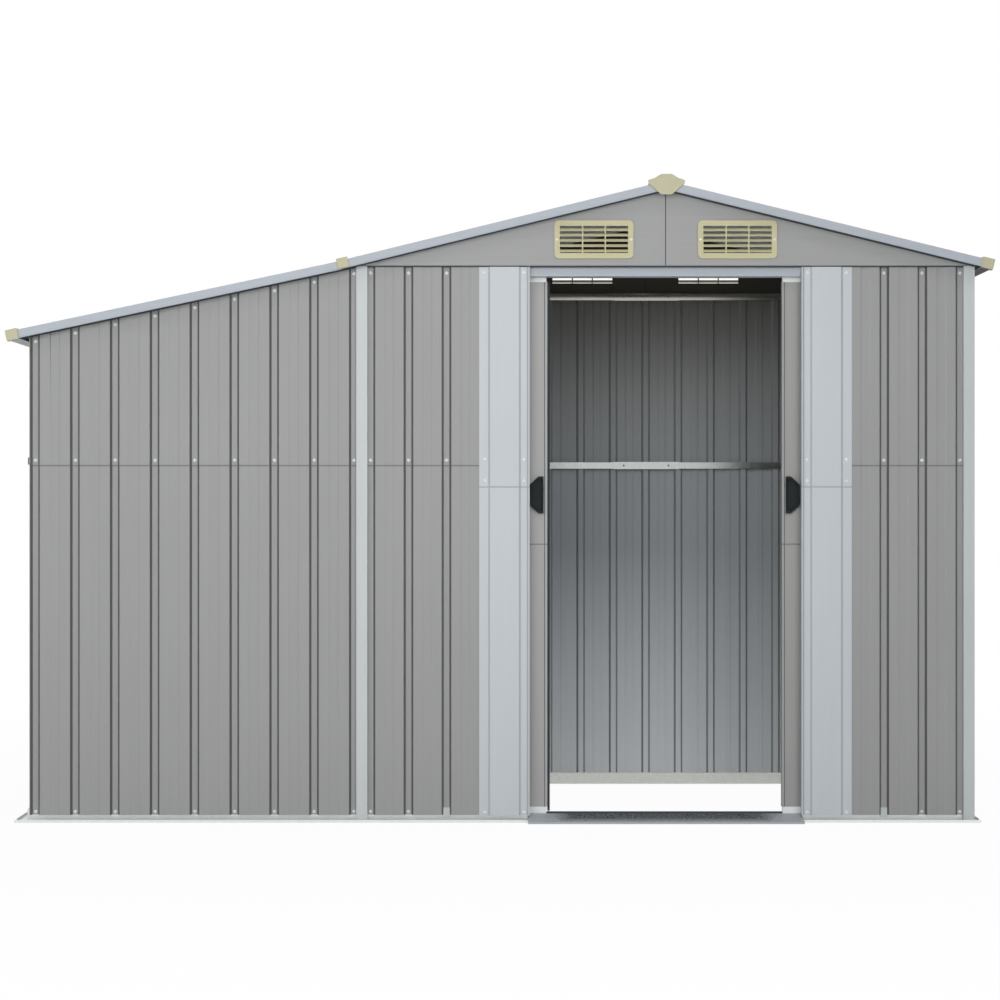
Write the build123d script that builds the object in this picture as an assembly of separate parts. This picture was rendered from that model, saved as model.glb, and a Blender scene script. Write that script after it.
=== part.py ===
"""Sheet-metal storage shed with two sliding doors and an open-ended lean-to bay.

Lengths are in millimetres. The front faces -Y and the ground is Z = 0. The pieces are
drawn about the main ridge at X = 0 and moved to the middle of the roof when written.
"""

import os

from build123d import *

# Plan of the shed
main_width = 1734
main_overhang = 49
lean_to_reach = 977
lean_to_overhang = 60.1
roof_depth = 1105
verge_overhang = 52.5
slide_margin = 105
jamb_width = 141.4

# Heights above the ground
wall_top = 1560
sheet_lift = 20
wall_lap_level = 1002
jamb_seam_level = 942
door_seam_level = 781
mid_rail_rise = 1
roof_lift = 7
main_slope_share = 0.2447
lean_to_slope_share = 0.2124

# Clearances
fit_gap = 0.2
lap_gap = 0.3
door_clearance = 6.5
runner_gap = 0.3
runner_side_gap = 2
overrun = 40

# Ribbed sheet: wide pans, narrow recessed valleys and a shallow dip along each pan
sheet_thick = 1
valley_depth = 12
valley_mouth = 27
valley_floor = 16
pan_dip = 1.5
pan_ramp = 3
pan_dip_share = 1 / 3
wall_lap = 25
front_edge_inset = 39.5
front_valleys = 4
back_side_valleys = 8
side_pitch = 106.7
narrow_pan = 24
lean_to_edge_inset = 7
lean_to_valleys = 9
edge_lip = 2
roof_edge_pan = 50
roof_valleys = 10

# Corner posts
post_width = 31
post_proud = 2
post_thick = 1.2

# Pale jamb panels beside the doorway
jamb_lap = 1.5
jamb_strip = 25
jamb_flank = 5.5
jamb_inner_strip = 16
jamb_lip = 3
jamb_rise = 4

# Rails inside the walls
rail_height = 20
rail_depth = 20
rail_thick = 1.2
rail_lip = 5
splice_length = 207
splice_depth = 14
rail_top_gap = 2
rail_wrap = 4

# Base rails, door sill and door tracks
base_thick = 1.2
base_reach = 31
base_lip = 8
base_upright = 36
side_rail_gap = 8
sill_overlap = 5
sill_reach = 58
sill_lip = 5
sill_crest = 20
sill_thick = 1.5
track_thick = 1.2
floor_track_back = 23
floor_track_spare = 10
head_drop = 28

# Gable sheets and their vents
gable_proud = 8
gable_thick = 1
gable_flange = 21
gable_end_inset = 30
vent_width_share = 0.256
vent_height_share = 0.1234
vent_offset_share = 0.2318
vent_rise_share = 0.0842
vent_radius = 13
vent_depth = 6
vent_border = 15.6
vent_louvres = 5
vent_bars = 2
vent_bar_width = 4
louvre_thick = 1.6
louvre_fall = 7
louvre_foot = 1.8

# Roof trims, caps and ridge
trim_thick = 1.2
trim_flange = 22
trim_drop = 20
trim_drip = 4.3
trim_drip_out = 2.2
trim_inset = 6
eave_flange = 28
eave_inset = 11
cap_size = 34.5
cap_wall = 3.5
cap_crown = 4.2
cap_height = 30.5
cap_tuck = 1.5
clip_width = 32
clip_crown = 6.2
clip_height = 29
ridge_gap = 0.5
ridge_width = 96
ridge_shoulder_width = 58
ridge_flat_width = 24
ridge_rise = 14
ridge_shoulder_drop = 11
ridge_edge_drop = 17
ridge_thick = 1.2
ridge_cap_margin = 3
ridge_cap_tip = 9
ridge_cap_foot_width = 30
ridge_cap_drop = 38
beam_width = 30
beam_height = 32
beam_thick = 1.5

# Sliding doors, drawn open as they stand in use
door_lap = 32
door_show = 50.5
door_bottom = 39
door_top_gap = 42
door_depth = 20
leaf_thick = 1
leaf_dip = 6
leaf_valleys = 3
stile_width = 6.5
stile_thick = 1
glider_length = 60
glider_tuck = 25
glider_reach = 15
handle_width = 38.6
handle_height = 104
handle_flat_share = 0.36
handle_slant_share = 0.22
handle_depth = 12
handle_wall = 4
handle_floor = 3
handle_inset = 11
handle_level = 918

# Planes that several pieces share
main_half = main_width / 2
left_end = main_half + lean_to_reach
main_centre = (left_end - main_half - main_overhang) / 2
roof_half = roof_depth / 2
doorway_half = main_half / 2 - slide_margin / 2
front_pan = roof_half - verge_overhang
mid_rail_level = wall_lap_level + mid_rail_rise
side_pan = main_half - post_proud
sheet_step = sheet_thick + lap_gap
seat_inset = valley_depth + sheet_thick + fit_gap
front_seat = front_pan - seat_inset
side_seat = side_pan - seat_inset
profile_height = valley_depth + sheet_thick
main_edge = main_half + main_overhang - eave_inset
lean_to_edge = left_end - eave_inset
lean_to_start = main_half + lap_gap
lean_to_end = left_end - lean_to_overhang
lean_to_first = main_half + lean_to_edge_inset
lean_to_last = lean_to_end - edge_lip - valley_mouth / 2
lean_to_pitch = (lean_to_last - lean_to_first) / (lean_to_valleys - 1)
lean_to_seat = lean_to_end + side_rail_gap
door_face = front_seat - rail_depth - door_clearance - stile_thick - lap_gap
trim_face = roof_half - trim_inset
sheet_half = trim_face - trim_thick - fit_gap
gable_face = front_pan + gable_proud

nodes = {}


def keep(name, *pieces):
    """Store the solids of one named piece."""
    nodes[name] = [solid for piece in pieces for solid in piece.solids()]


def across(piece):
    """The piece mirrored to the other side of the main ridge."""
    return mirror(piece, about=Plane.YZ)


def behind(piece):
    """The piece mirrored from the front to the back."""
    return mirror(piece, about=Plane.XZ)


def turned(piece):
    """The piece turned from the front to the right side."""
    return Rot(0, 0, 90) * piece


def main_under(distance):
    """Height of the main roof's underside at a distance from the ridge."""
    return wall_top + roof_lift + main_slope_share * (main_half - distance)


def lean_to_under(distance):
    """Height of the lean-to roof's underside at a distance from the ridge."""
    return main_under(main_edge) - sheet_step - lean_to_slope_share * (distance - main_edge)


def folded(points, thick):
    """Face of a folded strip whose metal lies on the left of the line of points."""
    line = [Vector(*point) for point in points]
    steps = [(end - start).normalized() for start, end in zip(line, line[1:])]
    inner = []
    for here, first, second in zip(line, steps[:1] + steps, steps + steps[-1:]):
        left_first = Vector(-first.Y, first.X)
        left_second = Vector(-second.Y, second.X)
        inner.append(here + (left_first + left_second) * (thick / (1 + left_first.dot(left_second))))
    return make_face(Polyline(*line, *reversed(inner), close=True))


def run(face, seat, start, end):
    """Sweep a section drawn as (outward, up) along X in front of a seat plane."""
    plane = Plane(origin=(start, -seat, 0), x_dir=(0, -1, 0), z_dir=(-1, 0, 0))
    return extrude(plane * face, end - start, dir=(1, 0, 0))


def slope_run(face, seat, start, end, slope):
    """Sweep a section along a roof slope on the left, with upright end cuts."""
    plane = Plane(origin=(-start, -seat, 0), x_dir=(0, -1, 0), z_dir=(-1, 0, 0))
    length = (end - start) * (1 + slope**2) ** 0.5
    return extrude(plane * face, length, dir=(-1, 0, -slope))


def slope_shares(slope):
    """Shares of a length along a slope that count as level run and as fall."""
    run_share = (1 + slope**2) ** -0.5
    return run_share, run_share * slope


def square_run(face, seat, start, level, length, slope):
    """Sweep a section down a roof slope on the left, with end cuts square to the slope."""
    plane = Plane(origin=(-start, -seat, level), x_dir=(0, -1, 0), z_dir=(-1, 0, -slope))
    return extrude(plane * face, length, dir=plane.z_dir)


def block(low, high):
    """Box between two corners."""
    size = Vector(*high) - Vector(*low)
    return Pos(*low) * Box(*size, align=Align.MIN)


def rib_line(start, end, valleys, dipped=True, lip_start=False, lip_end=False):
    """Outer line of a ribbed sheet as (along, outward) points with the pans at zero.

    The sheet ends on a valley floor, or past the last valley on a lip at pan height.
    """
    mouth, floor = valley_mouth / 2, valley_floor / 2
    line = []
    for centre in valleys:
        if line and dipped:
            pan_start, pan_end = line[-1][0], centre - mouth
            edge = (pan_end - pan_start) * pan_dip_share
            line += [(pan_start + edge, 0), (pan_start + edge + pan_ramp, -pan_dip)]
            line += [(pan_end - edge - pan_ramp, -pan_dip), (pan_end - edge, 0)]
        line += [(centre - mouth, 0), (centre - floor, -valley_depth)]
        line += [(centre + floor, -valley_depth), (centre + mouth, 0)]
    line = [(start, 0)] + line if lip_start else [(start, -valley_depth)] + line[2:]
    return line + [(end, 0)] if lip_end else line[:-2] + [(end, -valley_depth)]


def sheet_face(line):
    """Section of a sheet under its outer line, drawn as (along, up)."""
    lower = [(along, out - sheet_thick) for along, out in reversed(line)]
    return make_face(Polyline(*line, *lower, close=True))


def wall_sheet(line, pan, low, high):
    """One upright ribbed sheet facing the front, with its pans on the pan plane."""
    face = mirror(Pos(0, pan) * sheet_face(line), about=Plane.XZ)
    return Pos(0, 0, low) * extrude(face, high - low, dir=(0, 0, 1))


def wall(line, pan, top=wall_top):
    """Lower sheet and the upper sheet that laps over it."""
    lower = wall_sheet(line, pan, sheet_lift, wall_lap_level + wall_lap)
    upper = wall_sheet(line, pan + sheet_step, wall_lap_level, top)
    return lower, upper


def rail(start, end, seat, low):
    """Lipped channel along X with its lips on the seat plane and its flat face inwards."""
    points = [(0, low + rail_height - rail_lip), (0, low + rail_height)]
    points += [(-rail_depth, low + rail_height), (-rail_depth, low), (0, low), (0, low + rail_lip)]
    return run(folded(points, rail_thick), seat, start, end)


def splice(seat, low):
    """Sleeve over the joint of two rails, open towards the wall."""
    inner, grow = rail_depth + fit_gap + rail_thick, fit_gap + rail_thick
    points = [(splice_depth - inner, low + rail_height + grow), (-inner, low + rail_height + grow)]
    points += [(-inner, low - grow), (splice_depth - inner, low - grow)]
    return run(folded(points, rail_thick), seat, -splice_length / 2, splice_length / 2)


def base_rail(start, end, seat, upright_start, upright_end):
    """Base rail with an upright behind the sheets and a lipped foot in front of them."""
    foot = folded([(-base_thick, 0), (base_reach, 0), (base_reach, base_lip)], base_thick)
    upright = folded([(-base_thick, base_upright), (-base_thick, 0)], base_thick)
    return run(foot, seat, start, end) + run(upright, seat, upright_start, upright_end)


# Base rails on the ground
side_rail_end = front_seat - base_thick - fit_gap
side_reach = side_seat + base_reach
sill_half = doorway_half + sill_overlap
sill_stop = sill_half + lap_gap
main_start = -main_half + fit_gap
front_left_base = base_rail(main_start, -sill_stop, front_seat, -side_seat, -sill_stop)
front_right_base = base_rail(sill_stop, side_reach, front_seat, sill_stop, side_seat)
keep("front_base_rails", front_left_base, front_right_base)
keep("back_base_rail", behind(base_rail(main_start, side_reach, front_seat, -side_seat, side_seat)))
side_span = (-side_rail_end, side_rail_end)
right_base = turned(base_rail(*side_span, side_seat, *side_span))
keep("side_base_rails", right_base, across(right_base))
lean_to_span = (-lean_to_seat - base_reach, -main_half - fit_gap)
lean_to_base = base_rail(*lean_to_span, front_seat, -lean_to_seat, lean_to_span[1])
lean_to_side_base = across(turned(base_rail(*side_span, lean_to_seat, *side_span)))
keep("lean_to_base_rails", lean_to_base, behind(lean_to_base), lean_to_side_base)

# Door tracks and sill
glider_front = door_face - leaf_thick - lap_gap
glider_back = door_face - door_depth
track_front = front_seat - glider_front - runner_side_gap - track_thick
track_back = front_seat - glider_back + runner_side_gap + track_thick
floor_points = [(-track_back, floor_track_back), (-track_back, 0), (-track_front, 0), (-track_front, sill_crest)]
open_half = doorway_half - door_show
door_width = doorway_half + door_lap
floor_half = open_half + door_width + floor_track_spare
keep("door_floor_track", run(folded(floor_points, track_thick), front_seat, -floor_half, floor_half))
sill_back = fit_gap - track_front
sill_points = [(sill_reach, 0), (sill_reach, sill_lip), (sill_back, sill_crest), (sill_back, 0)]
keep("door_sill", run(folded(sill_points, sill_thick), front_seat, -sill_half, sill_half))
head_top = wall_top - rail_top_gap
head_bottom = wall_top - head_drop
head_points = [(0, head_bottom), (0, head_top), (-track_back, head_top), (-track_back, head_bottom)]
head_half = side_seat - fit_gap
keep("door_head_track", run(folded(head_points, track_thick), front_seat, -head_half, head_half))

# Corner posts, each a folded angle whose lips stand in the valleys
lip_reach = valley_depth - sheet_step - fit_gap
post_front, post_side = front_pan + post_proud, main_half
post_points = [
    (-post_side + post_width, -front_pan + lip_reach),
    (-post_side + post_width, -post_front),
    (-post_side, -post_front),
    (-post_side, -post_front + post_width),
    (-side_pan + lip_reach, -post_front + post_width),
]
post_face = folded(list(reversed(post_points)), post_thick)
post_foot = base_thick + fit_gap
left_post = Pos(0, 0, post_foot) * extrude(post_face, wall_top - post_foot, dir=(0, 0, 1))
keep("front_posts", left_post, across(left_post))
keep("back_posts", behind(left_post), behind(across(left_post)))

# Ribbed walls of the main room
corner_tuck = side_seat - lap_gap
jamb_outer = -doorway_half - jamb_width
front_first = front_edge_inset - main_half
front_pitch = (jamb_outer + jamb_lap + valley_mouth / 2 - front_first) / (front_valleys - 1)
front_places = [front_first + front_pitch * i for i in range(front_valleys)]
front_left = wall(rib_line(-corner_tuck, front_places[-1], front_places), front_pan)
keep("front_left_wall", *front_left)
keep("front_right_wall", *[across(sheet) for sheet in front_left])
back_edge = main_half - front_edge_inset
back_pitch = back_edge / back_side_valleys
back_places = [back_pitch * i for i in range(-back_side_valleys, back_side_valleys + 1)]
back_sheets = wall(rib_line(-corner_tuck, corner_tuck, back_places), front_pan)
keep("back_wall", *[behind(sheet) for sheet in back_sheets])
side_edge = front_pan + post_proud - front_edge_inset
side_count = int((side_edge - valley_mouth - narrow_pan) / side_pitch + 1 / 2) * 2
side_places = [side_pitch * (i - (side_count - 1) / 2) for i in range(side_count)]
side_places = [-side_edge] + side_places + [side_edge]
side_tuck = front_seat - lap_gap
side_sheets = [turned(sheet) for sheet in wall(rib_line(-side_tuck, side_tuck, side_places), side_pan)]
keep("right_wall", *side_sheets)
keep("left_wall", *[across(sheet) for sheet in side_sheets])

# Pale jamb panels lapping the front walls beside the doorway
jamb_base = front_pan + sheet_step + fit_gap + sheet_thick
jamb_steps = [jamb_strip, jamb_flank]
jamb_inner_steps = [jamb_lip, jamb_flank, jamb_inner_strip, jamb_flank]
jamb_points = [
    (jamb_outer, -jamb_base),
    (jamb_outer + jamb_strip, -jamb_base),
    (jamb_outer + sum(jamb_steps), -jamb_base - jamb_rise),
    (-doorway_half - sum(jamb_inner_steps), -jamb_base - jamb_rise),
    (-doorway_half - sum(jamb_inner_steps[:3]), -jamb_base),
    (-doorway_half - sum(jamb_inner_steps[:2]), -jamb_base),
    (-doorway_half - jamb_lip, -jamb_base - jamb_rise),
    (-doorway_half, -jamb_base - jamb_rise),
    (-doorway_half, -front_seat - fit_gap),
]
jamb_face = folded(jamb_points, sheet_thick)
jamb_lower_height = jamb_seam_level - sheet_lift - lap_gap
jamb_lower = Pos(0, 0, sheet_lift) * extrude(jamb_face, jamb_lower_height, dir=(0, 0, 1))
jamb_upper = Pos(0, 0, jamb_seam_level) * extrude(jamb_face, wall_top - jamb_seam_level, dir=(0, 0, 1))
keep("left_jamb_panel", jamb_lower, jamb_upper)
keep("right_jamb_panel", across(jamb_lower), across(jamb_upper))

# Lean-to screens, cut under the slope of their roof
lean_to_places = [lean_to_pitch * i - lean_to_last for i in range(lean_to_valleys)]
lean_to_line = rib_line(-lean_to_end, -lean_to_start, lean_to_places, lip_start=True)
cut_low, cut_high = lean_to_start - overrun, lean_to_end + overrun
cut_points = [
    (-cut_low, lean_to_under(cut_low) - fit_gap),
    (-cut_high, lean_to_under(cut_high) - fit_gap),
    (-cut_high, wall_top + overrun),
    (-cut_low, wall_top + overrun),
]
slope_cut = extrude(Plane.XZ * make_face(Polyline(*cut_points, close=True)), roof_depth, both=True)
screen_sheets = [sheet - slope_cut for sheet in wall(lean_to_line, front_pan, wall_top)]
keep("lean_to_front_wall", *screen_sheets)
keep("lean_to_back_wall", *[behind(sheet) for sheet in screen_sheets])

# Middle rails behind the laps of the sheets
rail_corner = side_seat - fit_gap
front_mid = rail(-rail_corner, -doorway_half, front_seat, mid_rail_level)
keep("front_mid_rails", front_mid, across(front_mid))
back_mid = behind(rail(-rail_corner, -fit_gap, front_seat, mid_rail_level))
keep("back_mid_rails", back_mid, across(back_mid), behind(splice(front_seat, mid_rail_level)))
side_rail_stop = front_seat - rail_depth - fit_gap
right_mid = turned(rail(-side_rail_stop, side_rail_stop, side_seat, mid_rail_level))
keep("side_mid_rails", right_mid, across(right_mid))
screen_rail = rail(-lean_to_end - rail_wrap, -main_half, front_seat, mid_rail_level)
wrap_low = (-lean_to_end - rail_wrap, -front_pan - post_proud, mid_rail_level)
wrap_high = (-lean_to_end - rail_wrap + rail_thick, -front_seat, mid_rail_level + rail_height)
screen_rail = screen_rail + block(wrap_low, wrap_high)
keep("lean_to_mid_rails", screen_rail, behind(screen_rail))

# Top rails
top_rail_level = head_top - rail_height
back_top = behind(rail(-rail_corner, -fit_gap, front_seat, top_rail_level))
keep("back_top_rails", back_top, across(back_top), behind(splice(front_seat, top_rail_level)))
right_top = turned(rail(-front_seat + track_back + fit_gap, side_rail_stop, side_seat, top_rail_level))
keep("side_top_rails", right_top, across(right_top))
slope_top = lean_to_under(main_half) - rail_top_gap
slope_points = [(-rail_depth, slope_top - rail_height), (0, slope_top - rail_height)]
slope_points += [(0, slope_top), (-rail_depth, slope_top)]
slope_face = folded(slope_points, rail_thick)
screen_top = slope_run(slope_face, front_seat, main_half, lean_to_end, lean_to_slope_share)
eave_rail_level = lean_to_under(lean_to_end) - rail_top_gap - rail_height
eave_rail = across(turned(rail(-side_rail_stop, side_rail_stop, lean_to_end, eave_rail_level)))
keep("lean_to_top_rails", screen_top, behind(screen_top), eave_rail)

# Gable sheets in two halves with a flange over the wall tops
gable_bottom = wall_top + lap_gap
gable_end = main_half - gable_end_inset
gable_points = [
    (-gable_end, gable_bottom),
    (-fit_gap, gable_bottom),
    (-fit_gap, main_under(fit_gap) - fit_gap),
    (-gable_end, main_under(gable_end) - fit_gap),
]
gable_sheet = extrude(Plane.XZ * make_face(Polyline(*gable_points, close=True)), gable_thick)
gable_sheet = Pos(0, gable_thick - gable_face, 0) * gable_sheet
flange_low = (-gable_end, -gable_face, gable_bottom)
flange_high = (-fit_gap, -gable_face + gable_flange, gable_bottom + gable_thick)
vent_width, vent_height = main_half * vent_width_share, main_half * vent_height_share
vent_offset, vent_level = main_half * vent_offset_share, wall_top + main_half * vent_rise_share
vent_field_width, vent_field_height = vent_width - vent_border * 2, vent_height - vent_border * 2
vent_hole = Box(vent_field_width, roof_depth, vent_field_height)
gable = gable_sheet + block(flange_low, flange_high)
gable = gable - Pos(-vent_offset, -roof_half, vent_level) * vent_hole
keep("front_gable", gable, across(gable))
keep("back_gable", behind(gable), behind(across(gable)))

# Louvred vents over the holes in the gables
vent_plate = extrude(RectangleRounded(vent_width, vent_height, vent_radius), vent_depth)
vent = vent_plate - Box(vent_field_width, vent_field_height, overrun)
louvre_pitch = (vent_field_height - louvre_foot) / vent_louvres
louvre_points = [(0, -louvre_fall), (0, louvre_thick - louvre_fall), (vent_depth, louvre_thick), (vent_depth, 0)]
louvre_face = make_face(Polyline(*louvre_points, close=True))
for place in range(vent_louvres):
    louvre_level = louvre_pitch * place - vent_field_height / 2 + louvre_foot + louvre_thick
    louvre_plane = Plane(origin=(-vent_field_width / 2, louvre_level, 0), x_dir=(0, 0, 1), z_dir=(1, 0, 0))
    vent = vent + extrude(louvre_plane * Pos(0, 0) * louvre_face, vent_field_width, dir=(1, 0, 0))
for place in range(vent_bars):
    bar_place = vent_field_width * (place + 1) / (vent_bars + 1) - vent_field_width / 2
    vent = vent + Pos(bar_place, 0, vent_depth / 2) * Box(vent_bar_width, vent_field_height, vent_depth)
vent = Pos(-vent_offset, -gable_face - fit_gap, vent_level) * (Rot(90, 0, 0) * vent)
keep("front_vents", vent, across(vent))
keep("back_vents", behind(vent), behind(across(vent)))

# Ribbed roof sheets running down the slopes
roof_first = valley_mouth / 2 + roof_edge_pan - sheet_half
roof_pitch = -roof_first * 2 / (roof_valleys - 1)
roof_places = [roof_first + roof_pitch * i for i in range(roof_valleys)]
roof_line = rib_line(-sheet_half, sheet_half, roof_places, dipped=False, lip_start=True, lip_end=True)
main_roof_face = Pos(0, main_under(ridge_gap) + profile_height) * sheet_face(roof_line)
left_roof = slope_run(main_roof_face, 0, ridge_gap, main_edge, main_slope_share)
keep("main_left_roof", left_roof)
keep("main_right_roof", across(left_roof))
lean_roof_start = main_edge - trim_flange
lean_roof_face = Pos(0, lean_to_under(lean_roof_start) + profile_height) * sheet_face(roof_line)
keep("lean_to_roof", slope_run(lean_roof_face, 0, lean_roof_start, lean_to_edge, lean_to_slope_share))

# Verge trims along the front and back edges of the roofs
def verge(start, end, under, slope):
    """Folded verge trim on a left slope with a drip at its foot."""
    top = under(start) + profile_height + fit_gap + trim_thick
    points = [(trim_drip_out, top - trim_drop - trim_drip), (0, top - trim_drop)]
    points += [(0, top), (-trim_flange, top)]
    return slope_run(folded(points, trim_thick), trim_face, start, end, slope)


def cap_start(end, slope):
    """Distance from the ridge at which a corner cap starts, so that its tip is at the end."""
    run_share, fall_share = slope_shares(slope)
    return end - cap_size * run_share - cap_crown * fall_share


main_cap_start = cap_start(main_half + main_overhang, main_slope_share)
lean_cap_start = cap_start(left_end, lean_to_slope_share)
right_verge = across(verge(ridge_gap, main_cap_start + cap_tuck, main_under, main_slope_share))
left_verge = verge(ridge_gap, main_edge - fit_gap, main_under, main_slope_share)
lean_verge = verge(main_edge + fit_gap, lean_cap_start + cap_tuck, lean_to_under, lean_to_slope_share)
keep("front_verge_trims", left_verge, right_verge, lean_verge)
keep("back_verge_trims", *[behind(trim) for trim in (left_verge, right_verge, lean_verge)])


# Eave trims between the corner caps
def eave(edge, start, under, slope):
    """Folded eave trim over the lower edge of a roof, square to the slope and drawn on the right."""
    run_share, fall_share = slope_shares(slope)
    face_place = start + (cap_size - cap_wall - fit_gap * 2) * run_share
    rise = profile_height + fit_gap + trim_thick
    top = under(face_place) + rise
    drop = trim_drop + trim_drip
    foot_place, foot_level = face_place - drop * fall_share, top - drop * run_share
    points = [(foot_place - eave_flange * run_share, foot_level + eave_flange * fall_share)]
    points += [(foot_place, foot_level), (face_place, top)]
    points += [(edge - trim_flange + fit_gap, under(edge - trim_flange + fit_gap) + rise)]
    eave_half = roof_half - cap_size + cap_tuck
    return extrude(Plane.XZ * folded(points, trim_thick), eave_half, both=True)


main_eave = eave(main_edge, main_cap_start, main_under, main_slope_share)
lean_eave = eave(lean_to_edge, lean_cap_start, lean_to_under, lean_to_slope_share)
keep("eave_trims", main_eave, across(lean_eave))


# Corner caps that close the ends of the trims
def corner_cap(start, under, slope):
    """Hollow cap with a top, a front and an end wall, open inwards and downwards."""
    level = under(start) + profile_height + fit_gap + trim_thick + fit_gap
    foot = cap_crown - cap_height
    outer = [(0, cap_crown), (-cap_size, cap_crown), (-cap_size, foot), (0, foot)]
    room_back, room_foot = -cap_size - overrun, foot - overrun
    room = [(-cap_wall, 0), (room_back, 0), (room_back, room_foot), (-cap_wall, room_foot)]
    body = square_run(make_face(Polyline(*outer, close=True)), roof_half, start, level, cap_size, slope)
    room_length = cap_size - cap_wall
    hollow = square_run(make_face(Polyline(*room, close=True)), roof_half, start, level, room_length, slope)
    return body - hollow


right_cap = across(corner_cap(main_cap_start, main_under, main_slope_share))
left_cap = corner_cap(lean_cap_start, lean_to_under, lean_to_slope_share)
keep("corner_caps", right_cap, behind(right_cap), left_cap, behind(left_cap))

# Clips over the joint of the main and lean-to verges
clip_start = main_edge - clip_width / 2
clip_level = main_under(clip_start) + profile_height + fit_gap + trim_thick + lap_gap
clip_foot = clip_crown - clip_height
clip_points = [(0, clip_crown), (-cap_size, clip_crown), (-cap_size, 0)]
clip_points += [(-cap_wall, 0), (-cap_wall, clip_foot), (0, clip_foot)]
clip_face = make_face(Polyline(*clip_points, close=True))
clip = square_run(clip_face, roof_half, clip_start, clip_level, clip_width, main_slope_share)
keep("joint_clips", clip, behind(clip))

# Ridge cap, its moulded ends and the beam under it
ridge_top = main_under(0) + profile_height
ridge_seat = ridge_top + fit_gap + trim_thick + fit_gap
ridge_edge_seat = ridge_seat + ridge_thick - main_slope_share * ridge_width / 2
ridge_side = [
    (ridge_width / 2, ridge_edge_seat),
    (ridge_width / 2, ridge_seat + ridge_rise - ridge_edge_drop + ridge_thick),
    (ridge_shoulder_width / 2, ridge_seat + ridge_rise - ridge_shoulder_drop + ridge_thick),
    (ridge_flat_width / 2, ridge_seat + ridge_rise + ridge_thick),
]
ridge_points = ridge_side + [(-place, level) for place, level in reversed(ridge_side)]
ridge_half = roof_half - cap_wall - fit_gap
keep("ridge_cap", extrude(Plane.XZ * folded(ridge_points, ridge_thick), ridge_half, both=True))
cap_side = [(place + ridge_cap_margin, level + ridge_cap_margin) for place, level in ridge_side[1:]]
cap_tip = [(cap_side[0][0], cap_side[0][1] - ridge_cap_tip)]
cap_foot = [(ridge_cap_foot_width / 2, ridge_top - ridge_cap_drop)]
cap_half = cap_foot + cap_tip + cap_side
cap_points = cap_half + [(-place, level) for place, level in reversed(cap_half)]
ridge_end = extrude(Plane.XZ * make_face(Polyline(*cap_points, close=True)), cap_wall)
ridge_end = Pos(0, cap_wall - roof_half, 0) * ridge_end
keep("ridge_end_caps", ridge_end, behind(ridge_end))
beam_top = main_under(beam_width / 2) - fit_gap
beam_points = [(beam_width / 2, beam_top - beam_height), (beam_width / 2, beam_top)]
beam_points += [(-beam_width / 2, beam_top), (-beam_width / 2, beam_top - beam_height)]
beam_half = gable_face - gable_thick - fit_gap
keep("ridge_beam", extrude(Plane.XZ * folded(beam_points, beam_thick), beam_half, both=True))

# Door leaf in two sheets with folded edges and shallow valleys
door_top = wall_top - door_top_gap
lead = -open_half - stile_thick - fit_gap
trail = -open_half - door_width + stile_thick + fit_gap
leaf_points = [(trail, -glider_back), (trail, -door_face)]
for place in range(leaf_valleys):
    centre = trail + (lead - trail) * (place + 1) / (leaf_valleys + 1)
    leaf_points += [(centre - valley_mouth / 2, -door_face), (centre - valley_floor / 2, leaf_dip - door_face)]
    leaf_points += [(centre + valley_floor / 2, leaf_dip - door_face), (centre + valley_mouth / 2, -door_face)]
leaf_points += [(lead, -door_face), (lead, -glider_back)]
leaf_face = folded(leaf_points, leaf_thick)
leaf_lower_height = door_seam_level - door_bottom - lap_gap
leaf_lower = Pos(0, 0, door_bottom) * extrude(leaf_face, leaf_lower_height, dir=(0, 0, 1))
leaf_upper = Pos(0, 0, door_seam_level) * extrude(leaf_face, door_top - door_seam_level, dir=(0, 0, 1))
keep("left_door_leaf", leaf_lower, leaf_upper)
keep("right_door_leaf", across(leaf_lower), across(leaf_upper))

# Stiles folded round the upright edges of the leaf
stile_front, stile_back = -door_face - stile_thick - lap_gap, -glider_back + stile_thick + lap_gap
stile_points = [(-open_half - stile_width, stile_front), (-open_half, stile_front)]
stile_points += [(-open_half, stile_back), (-open_half - stile_width, stile_back)]
stile = extrude(folded(stile_points, stile_thick), door_top - door_bottom, dir=(0, 0, 1))
stile = Pos(0, 0, door_bottom) * stile
door_middle = Plane.YZ.offset(-open_half - door_width / 2)
stiles = (stile, mirror(stile, about=door_middle))
keep("left_door_stiles", *stiles)
keep("right_door_stiles", *[across(piece) for piece in stiles])

# Gliders that run in the two tracks
glider_lead = lead - leaf_thick - fit_gap
foot_low = (glider_lead - glider_length, -glider_front, track_thick + runner_gap)
foot_high = (glider_lead, -glider_back, door_bottom + glider_tuck)
head_low = (glider_lead - glider_length, -glider_front, door_top - glider_tuck)
head_high = (glider_lead, -glider_back, head_bottom + glider_reach)
gliders = [block(foot_low, foot_high), block(head_low, head_high)]
gliders += [mirror(piece, about=door_middle) for piece in gliders]
keep("left_door_gliders", *gliders)
keep("right_door_gliders", *[across(piece) for piece in gliders])


# Handles with slanted corners and a finger pocket
def handle_face(width, height):
    """Outline of a handle, flat towards the opening and slanted at its outer corners."""
    flat, slant = width * handle_flat_share, height * (1 / 2 - handle_slant_share)
    upper = [(0, height / 2), (-flat, height / 2), (-width, slant)]
    lower = [(along, -up) for along, up in reversed(upper)]
    return make_face(Polyline(*upper, *lower, close=True))


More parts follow.
